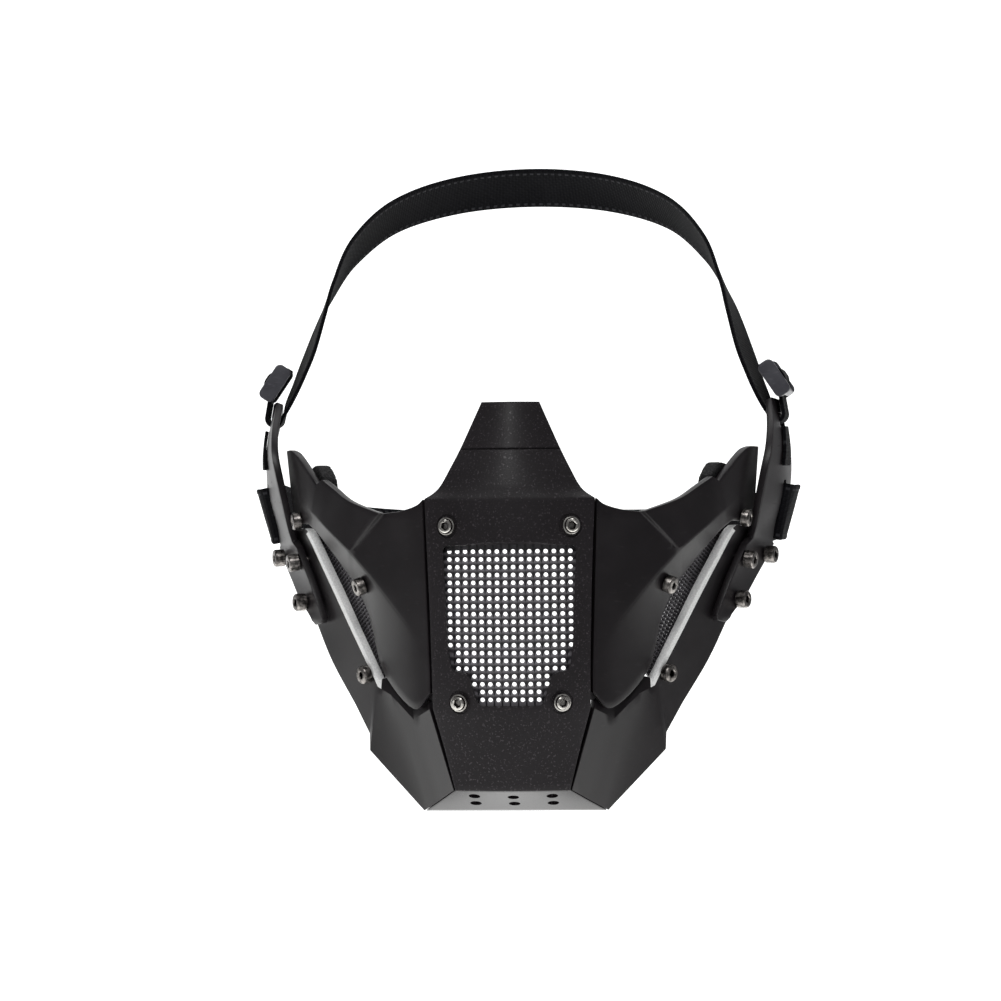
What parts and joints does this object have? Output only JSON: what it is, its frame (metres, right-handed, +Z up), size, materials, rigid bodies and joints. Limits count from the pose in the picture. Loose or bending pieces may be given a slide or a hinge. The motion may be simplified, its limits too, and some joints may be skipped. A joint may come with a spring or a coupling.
{
  "type": "mesh half face mask",
  "caption": "Lower-face guard of moulded shells screwed to side arms, with perforated mesh over mouth and cheeks, vents under the chin and two webbing head straps.",
  "frame": {"origin": "the nose seat: the inner face of the nose bridge on the middle plane, 9 mm below its top edge", "axes": "+Z up, -Y the way the wearer looks, +X the right of the mask seen from the front"},
  "size_m": [0.2118, 0.2125, 0.2478],
  "materials": {
    "textured_shell": "fine pebbled black moulding",
    "smooth_shell": "smooth satin black moulding",
    "mesh": "black coated perforated steel",
    "front_screws": "gunmetal socket screws with worn rims",
    "side_screws": "blackened socket screws with worn rims",
    "webbing": "black woven webbing with stitched edges",
    "buckle": "dark grey moulded buckle",
    "foam": "black closed-cell foam"
  },
  "bodies": {
    "root": {"arm_left": "smooth_shell", "arm_right": "smooth_shell", "arm_screw_left_1": "side_screws", "arm_screw_left_2": "side_screws", "arm_screw_left_3": "side_screws", "arm_screw_right_1": "side_screws", "arm_screw_right_2": "side_screws", "arm_screw_right_3": "side_screws", "blade_screw_left": "side_screws", "blade_screw_right": "side_screws", "centre_shell": "textured_shell", "cheek_left": "smooth_shell", "cheek_right": "smooth_shell", "ear_pad_left": "foam", "ear_pad_right": "foam", "front_mesh": "mesh", "front_screw_1": "front_screws", "front_screw_2": "front_screws", "front_screw_3": "front_screws", "front_screw_4": "front_screws", "jaw_left": "smooth_shell", "jaw_right": "smooth_shell", "jaw_screw_left": "side_screws", "jaw_screw_right": "side_screws", "keeper_left": "webbing", "keeper_right": "webbing", "lower_strap": "webbing", "side_mesh_left": "mesh", "side_mesh_right": "mesh", "slider_left": "buckle", "slider_right": "buckle", "upper_strap": "webbing", "wing_screw_left": "side_screws", "wing_screw_right": "side_screws"}
  },
  "joints": []
}
